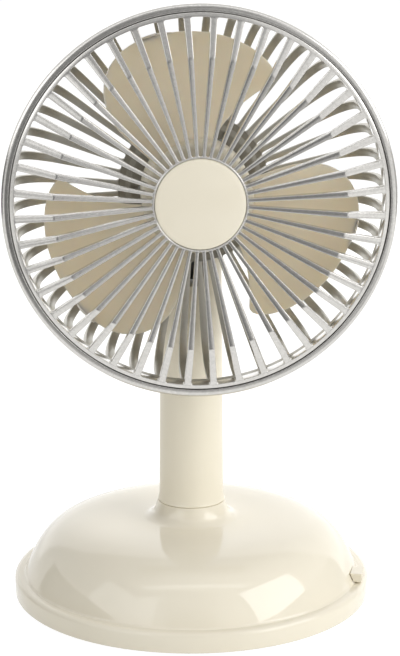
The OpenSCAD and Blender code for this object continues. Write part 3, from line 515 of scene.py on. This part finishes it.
def frontStations():
    # radii along a rib, close together in its fillets and at its ridge
    near, far, ridge = grille["hubOut"], grille["rimIn"], grille["ridge"]
    hubEnd = [near - grille["hubLap"]] + [near + grille["hubFillet"] * s for s in (0.05, 0.3, 1)]
    rimEnd = [far - grille["rimFillet"] * s for s in (1, 0.7, 0.45, 0.25, 0.1, 0.02)] + [far + grille["rimLap"]]
    return hubEnd + [30, 40, 48] + [ridge + s for s in (-0.6, -0.2, 0.2, 0.6)] + [62] + rimEnd


def makeFrontGrille():
    bm = bmesh.new()
    faces = strip(bm, frontRow, frontStations())
    top = {v for f in faces for v in f.verts}
    made = bmesh.ops.extrude_face_region(bm, geom=faces)["geom"]
    lower = [g for g in made if isinstance(g, bmesh.types.BMVert)]
    bmesh.ops.translate(bm, vec=(0, 0, grille["depth"]), verts=lower)
    roundEdges(bm, grille["edge"], 3, lambda e: all(v in top for v in e.verts) and extent(e, 0) > 0.01)
    ribsRound(bm, grille["ribs"])
    lathe(bm, [(grille["rimIn"], grille["back"], grille["rimBackEdge"]),
               (grille["rimIn"], grille["front"] - grille["rimRise"], grille["rimEdge"]),
               (grille["rimOut"], grille["front"] + grille["rimFall"], grille["rimEdge"]),
               (grille["rimOut"], grille["back"])], steps=216)
    face, floor, back = (grille["hubFace"] + d for d in (-grille["hubRise"], grille["hubFloor"], grille["hubBack"]))
    lathe(bm, [(grille["hubIn"], face, grille["hubInEdge"]), (grille["hubOut"], face, grille["hubOutEdge"]),
               (grille["hubOut"], back), (grille["hubHole"], back),
               (grille["hubHole"], floor), (grille["hubIn"], floor)], steps=120)
    bmesh.ops.transform(bm, matrix=onHead, verts=bm.verts)
    makePiece("frontGrille", bm, silver, "head", ["front_grille"])


makeFrontGrille()


# Hub cap: a plain, slightly crowned disc

cap = dict(radius=17.45, face=-59.2, crown=0.7, edge=0.5, back=-57.2)


def makeHubCap():
    bm = bmesh.new()
    crown = [(cap["radius"] * i / 10, cap["face"] - cap["crown"] * (1 - (i / 10) ** 2)) for i in range(10)]
    side = [(cap["radius"], cap["face"], cap["edge"]), (cap["radius"], cap["back"]), (0, cap["back"])]
    lathe(bm, crown + side, steps=120, closed=False)
    bmesh.ops.transform(bm, matrix=onHead, verts=bm.verts)
    makePiece("hubCap", bm, glossAbs, "head", ["hub_cap"])


makeHubCap()


# Rear grille: a bowl of curved ribs with round slot ends at a solid centre plate

bowl = dict(ribs=44, rim=72.85, rimFront=-52.5, rimEdge=0.3, bend=55, back=-17, wall=2, edge=0.35,
            slotIn=2.4, slotOut=7.1, slotEnd=73.85, slotFront=-49, slotLap=0.4,
            plate=30, plateLap=0.1, plateEdge=0.3, boss=25.4, bossSlope=2.2, bossFace=-20.5, bossEdge=0.4, nose=4.1,
            screws=6, screwRing=21, screwHole=1.4, holeDepth=12, keyRing=24.3, keyBack=7)


def slotHalf(r):
    start = bowl["plate"] + bowl["slotIn"] / 2
    if r < start:
        return math.sqrt(max(0, (bowl["slotIn"] / 2) ** 2 - (r - start) ** 2))
    return (bowl["slotIn"] + (bowl["slotOut"] - bowl["slotIn"]) * (r - start) / (bowl["slotEnd"] - start)) / 2


def rearRow(station, side):
    r, height = station
    half = r * math.sin(math.pi / bowl["ribs"]) - slotHalf(r)
    return math.sqrt(r ** 2 - half ** 2), side * half, height


def bowlStations(shell):
    # from the centre plate along the flat back, round the corner and forward along the side wall
    flatZ, wallR = bowl["back"] - shell, bowl["rim"] - shell
    slotStart = [bowl["plate"] + bowl["slotIn"] / 2 * s for s in (0.02, 0.2, 0.5, 1)]
    flat = [(r, flatZ) for r in slotStart + [38, 46]]
    corner = arcBetween((bowl["bend"], flatZ), (wallR, bowl["back"] + bowl["bend"] - bowl["rim"]), -90, 16)
    return flat + corner + [(wallR, bowl["slotFront"] - bowl["slotLap"])]


def makeRearGrille():
    bm = bmesh.new()
    strip(bm, rearRow, bowlStations(0))
    strip(bm, rearRow, bowlStations(bowl["wall"]))
    bmesh.ops.bridge_loops(bm, edges=[e for e in bm.edges if e.is_boundary])
    bmesh.ops.recalc_face_normals(bm, faces=bm.faces)
    roundEdges(bm, bowl["edge"], 2, lambda e: e.calc_face_angle(0) > 1.0)
    ribsRound(bm, bowl["ribs"])
    rimIn = bowl["rim"] - bowl["wall"]
    lathe(bm, [(rimIn, bowl["rimFront"]), (bowl["rim"], bowl["rimFront"]),
               (bowl["rim"], bowl["slotFront"], bowl["rimEdge"]), (rimIn, bowl["slotFront"], bowl["rimEdge"])],
          steps=176)
    bmesh.ops.transform(bm, matrix=onHead, verts=bm.verts)
    # the rear ribs take the silver's darker copy, its tone painted shade from inside the cage
    makePiece("rearGrille", bm, plain["shadeDarkenedSilver"], "head", ["rear_grille"])


def makeRearPlate():
    edge, back, face = bowl["plate"] + bowl["plateLap"], bowl["back"], bowl["back"] - bowl["wall"]
    bm = bmesh.new()
    lathe(bm, [(bowl["nose"], back), (edge, back, bowl["plateEdge"]), (edge, face, bowl["plateEdge"]),
               (bowl["boss"] + bowl["bossSlope"], face), (bowl["boss"], bowl["bossFace"], bowl["bossEdge"]),
               (bowl["nose"], bowl["bossFace"], bowl["bossEdge"])], steps=176)
    bmesh.ops.transform(bm, matrix=onHead, verts=bm.verts)
    # the plate's darker tone is painted shade from the blades and hub in front of it
    plate = makePiece("rearPlate", bm, plain["shadeDarkenedPlateAbs"], "head", ["rear_grille"])
    holes = bmesh.new()
    for i in range(bowl["screws"]):
        turn = Matrix.Rotation(math.radians(360 / bowl["screws"] * i), 4, "Z")
        # a screw's hole goes through, and the key's hole beside it is blind
        for r, middle in ((bowl["screwRing"], back), (bowl["keyRing"], back - bowl["keyBack"])):
            place = onHead @ turn @ Matrix.Translation((r, 0, middle))
            cylinder(holes, bowl["screwHole"], bowl["holeDepth"], 24, place)
    cutOut(plate, holes)


makeRearGrille()
makeRearPlate()


# Impeller: three wide cambered blades on a cupped hub

fan = dict(blades=3, tip=63.8, thick=1.8, edge=0.6, depth=18.5, camber=1.5, rootSweep=66.5, middle=-36.8, start=-49.5,
           chord=84, trailRound=28.5, trailFrom=32, leadRound=63.5, leadFrom=51.3, leadSweep=0.61,
           hub=21.7, hubFront=-45.55, hubBack=-23.9, hubWall=1.8, hubRound=2.4, hubEdge=0.4, cupRound=1.2,
           bore=1.52, sleeve=4, sleeveShort=4, sleeveEdge=0.3)


def tipRound(r, start):
    return 0 if r <= start else 1 - math.sqrt(max(0, 1 - ((r - start) / (fan["tip"] - start)) ** 2))


def bladePoint(u, v):
    # u runs from root to tip, v from the trailing edge to the leading edge
    root = fan["hub"] - fan["hubWall"] / 2
    r = root + (fan["tip"] - root) * math.sin(u * math.pi / 2)
    first = fan["trailRound"] * tipRound(r, fan["trailFrom"])
    last = fan["rootSweep"] + fan["leadSweep"] * (r - fan["hub"]) - fan["leadRound"] * tipRound(r, fan["leadFrom"])
    turn = first + (last - first) * v
    s = 2 * turn / fan["chord"] - 1
    a = math.radians(turn + fan["start"])
    return r * math.sin(a), -r * math.cos(a), fan["middle"] + fan["depth"] / 2 * s + fan["camber"] * (1 - s * s)


def makeBlades():
    bm = bmesh.new()
    bmesh.ops.create_grid(bm, x_segments=28, y_segments=30, size=0.5)
    for v in bm.verts:
        v.co = bladePoint(v.co.x + 0.5, v.co.y + 0.5)
    repeatRound(bm, fan["blades"])
    bmesh.ops.transform(bm, matrix=onHead, verts=bm.verts)
    blades = makePiece("impellerBlades", bm, bladePlastic, "rotor", ["impeller"])
    wall = blades.modifiers.new("wall", "SOLIDIFY")
    wall.thickness, wall.offset = fan["thick"] / metre, 0
    softenEdges(blades, fan["edge"], 60)


def makeImpellerHub():
    cup, floor = fan["hub"] - fan["hubWall"], fan["hubFront"] + fan["hubWall"]
    sleeveEnd = fan["hubBack"] - fan["sleeveShort"]
    bm = bmesh.new()
    lathe(bm, [(fan["bore"], fan["hubFront"]), (fan["hub"], fan["hubFront"], fan["hubRound"]),
               (fan["hub"], fan["hubBack"], fan["hubEdge"]), (cup, fan["hubBack"], fan["hubEdge"]),
               (cup, floor, fan["cupRound"]), (fan["sleeve"], floor),
               (fan["sleeve"], sleeveEnd, fan["sleeveEdge"]), (fan["bore"], sleeveEnd)], steps=120)
    bmesh.ops.transform(bm, matrix=onHead, verts=bm.verts)
    makePiece("impellerHub", bm, satinAbs, "rotor", ["impeller"])


makeBlades()
makeImpellerHub()


# Motor pod at the back

pod = dict(radius=17.9, inner=15.9, front=-14.2, back=17, crown=10, wall=2, mouthEdge=0.4,
           slotHalf=4.2, slotBack=6.3, slotTop=8, slotClear=1, lugRing=21, lug=3.6, lugDepth=4.2, lugEdge=0.4)


def podCorner(shell):
    # the round corner from the pod's side to its flat back, the shell's depth under the outer face
    reach = pod["crown"] - shell
    turns = [math.radians(9 * i) for i in range(11)]
    return [(pod["radius"] - pod["crown"] + reach * math.cos(a), pod["back"] - pod["crown"] + reach * math.sin(a))
            for a in turns]


def makePodCover():
    inside = [(0, pod["back"] - pod["wall"])] + podCorner(pod["wall"])[::-1]
    mouth = [(pod["inner"], pod["front"]), (pod["radius"], pod["front"], pod["mouthEdge"])]
    bm = bmesh.new()
    lathe(bm, inside + mouth + podCorner(0) + [(0, pod["back"])], steps=128, closed=False)
    bmesh.ops.transform(bm, matrix=onHead, verts=bm.verts)
    cover = makePiece("podCover", bm, satinAbs, "head", ["pod_cover"])
    cuts = bmesh.new()
    block(cuts, (-pod["slotHalf"], pod["front"] - pod["slotClear"], headZ - pod["radius"] - pod["slotClear"]),
          (pod["slotHalf"], pod["slotBack"], headZ - pod["slotTop"]))
    cutOut(cover, cuts)


def makePodLugs():
    bm = bmesh.new()
    for side in (-1, 1):
        place = Matrix.Translation((side * pod["lugRing"], 0, pod["front"] + pod["lugDepth"] / 2))
        cylinder(bm, pod["lug"], pod["lugDepth"], 48, onHead @ place)
    roundEdges(bm, pod["lugEdge"], 3, lambda e: e.calc_face_angle(0) > 1.0)
    makePiece("podLugs", bm, satinAbs, "head", ["pod_cover"])


makePodCover()
makePodLugs()


# CAD pieces that keep their own shape; those not named here are zinc-plated

cadFinishes = {
    "bottom_cover": satinAbs, "pivot_caps": satinAbs, "rubber_feet": plain["matRubber"],
    "control_board": plain["solderMaskBoard"], "usb_socket": plain["drawnStainlessSteel"],
    "supply_lead": plain["softPvc"], "switch_body": plain["mouldedBlackNylon"],
    "column_nut": plain["mouldedBlackNylon"], "motor_cradle": plain["mouldedBlackNylon"],
    "motor_end_cap": plain["mouldedBlackNylon"], "pivot_washers": plain["sinteredBronze"],
    "front_bush": plain["sinteredBronze"], "rear_bush": plain["sinteredBronze"],
    "motor_brushes": plain["enamelledCopper"], "armature_windings": plain["enamelledCopper"],
    "commutator": plain["enamelledCopper"], "motor_magnets": plain["sinteredFerrite"],
}
for name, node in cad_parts.items():
    node.data.materials.clear()
    node.data.materials.append(cadFinishes.get(name, plain["zincPlatedSteel"]))
print("finishes set on", len(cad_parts), "nodes")


# Stage: pale floor, soft lamps, white surround, and cards that only reflections see

paperFloor = dict(tone="#f4f4f2", dull=0.9, half=8000, share=0.7, glow=1.28)
surround = dict(light="#ffffff", level=0.42)
lampAim = Vector((0, 0, 0.11))  # metres
lamps = [
    dict(name="rightBox", place=(920, -490, 640), size=(900, 620), watts=5.7, mirrored=True),
    dict(name="leftBox", place=(-845, -570, 690), size=(950, 650), watts=2.0, mirrored=False),
    dict(name="frontFill", place=(820, -760, 300), size=(900, 600), watts=2.5, mirrored=False),
    dict(name="rearFill", place=(330, 980, 240), size=(700, 400), watts=4.4, mirrored=False),
    dict(name="topFill", place=(150, 0, 1400), size=(1200, 1200), watts=2.8, mirrored=False),
]
cardThick = 1
cards = [
    dict(name="darkRoomLowCard", low=(-330, -900, 0), high=(205, -900, 100), glow=0.16),
    dict(name="darkRoomCard", low=(-330, -900, 100), high=(205, -900, 540), glow=0.28),
    dict(name="greyRoomCard", low=(-400, -900, 540), high=(260, -900, 1250), glow=0.58),
    dict(name="greyRugCard", low=(-330, -900, 2), high=(330, -340, 2), glow=0.58),
    dict(name="leftFrontCard", low=(-1000, -901, 0), high=(-330, -901, 300), glow=0.75),
    dict(name="leftRoomCard", low=(-800, -550, 0), high=(-800, 550, 290), glow=0.2),
    dict(name="rightRoomCard", low=(800, -550, 0), high=(800, 550, 290), glow=0.55),
    dict(name="leftBoxCard", low=(-901, -899, 290), high=(-901, -180, 900), glow=2.1),
    dict(name="leftBoxFrontCard", low=(-900, -900, 300), high=(-500, -900, 980), glow=2.1),
    dict(name="ceilingStripCard", low=(-560, -580, 900), high=(560, -440, 900), glow=2.3),
    dict(name="darkRugCard", low=(-330, -900, 4), high=(-40, -560, 4), glow=0.08),
    dict(name="paleRugCard", low=(80, -900, 4), high=(330, -560, 4), glow=0.82),
    dict(name="paleDoorCard", low=(60, -899, 90), high=(205, -899, 300), glow=0.6),
    dict(name="rearWallCard", low=(-700, 900, 0), high=(1300, 900, 1100), glow=1.6),
    dict(name="rearRightCard", low=(300, 720, 100), high=(800, 720, 600), glow=1.5),
]


def seenShare(tree):
    # 1 for the rays that show the backdrop: straight to the camera, mirrored or through glass
    path = addNode(tree, "ShaderNodeLightPath", {}).outputs
    seen = path["Is Camera Ray"]
    for ray in ("Is Glossy Ray", "Is Transmission Ray"):
        seen = addNode(tree, "ShaderNodeMath", {"operation": "MAXIMUM"}, {0: seen, 1: path[ray]}).outputs[0]
    return seen


def makeFloor():
    bm = bmesh.new()
    bmesh.ops.create_grid(bm, x_segments=4, y_segments=4, size=paperFloor["half"] / metre)
    floor = newObject("floor", bm)
    paper = bpy.data.materials.new("whitePaperFloor")
    paper.use_nodes = True
    tree = paper.node_tree
    shader = tree.nodes["Principled BSDF"]
    shader.inputs["Base Color"].default_value = linear(paperFloor["tone"])
    shader.inputs["Roughness"].default_value = paperFloor["dull"]
    share = addNode(tree, "ShaderNodeMath", {"operation": "MULTIPLY", 1: paperFloor["share"]}, {0: seenShare(tree)})
    glow = addNode(tree, "ShaderNodeEmission", {"Color": (1, 1, 1, 1), "Strength": paperFloor["glow"]})
    mixed = addNode(tree, "ShaderNodeMixShader", {}, {0: share.outputs[0], 1: shader.outputs[0], 2: glow.outputs[0]})
    tree.links.new(mixed.outputs[0], tree.nodes["Material Output"].inputs["Surface"])
    floor.data.materials.append(paper)


def makeCards():
    for card in cards:
        low, high = Vector(card["low"]), Vector(card["high"])
        size = [max(h - l, cardThick) for l, h in zip(low, high)]
        place = Matrix.Translation((low + high) / (2 * metre)) @ Matrix.Diagonal((*size, 1))
        bm = bmesh.new()
        bmesh.ops.create_cube(bm, size=1 / metre, matrix=place)
        board = newObject(card["name"], bm)
        glowing = newMaterial(card["name"], Base_Color=(0, 0, 0, 1), Specular_IOR_Level=0,
                              Emission_Color=(1, 1, 1, 1), Emission_Strength=card["glow"])[0]
        board.data.materials.append(glowing)
        board.visible_camera = board.visible_diffuse = board.visible_shadow = board.visible_transmission = False


def makeLamps():
    for lamp in lamps:
        light = bpy.data.lights.new(lamp["name"], "AREA")
        light.shape, light.size, light.size_y = "RECTANGLE", lamp["size"][0] / metre, lamp["size"][1] / metre
        light.energy = lamp["watts"]
        box = bpy.data.objects.new(lamp["name"], light)
        box.location = Vector(lamp["place"]) / metre
        box.rotation_euler = (lampAim - box.location).to_track_quat("-Z", "Y").to_euler()
        box.visible_camera, box.visible_glossy = False, lamp["mirrored"]
        scene.collection.objects.link(box)


def makeSurround():
    world = bpy.data.worlds.new("studio")
    world.use_nodes = True
    scene.world = world
    tree = world.node_tree
    soft = tree.nodes["Background"]
    soft.inputs["Color"].default_value = linear(surround["light"])
    soft.inputs["Strength"].default_value = surround["level"]
    white = addNode(tree, "ShaderNodeBackground", {"Color": (1, 1, 1, 1), "Strength": 1.0})
    mixed = addNode(tree, "ShaderNodeMixShader", {}, {0: seenShare(tree), 1: soft.outputs[0], 2: white.outputs[0]})
    tree.links.new(mixed.outputs[0], tree.nodes["World Output"].inputs["Surface"])


makeFloor()
makeCards()
makeLamps()
makeSurround()
print("stage set")
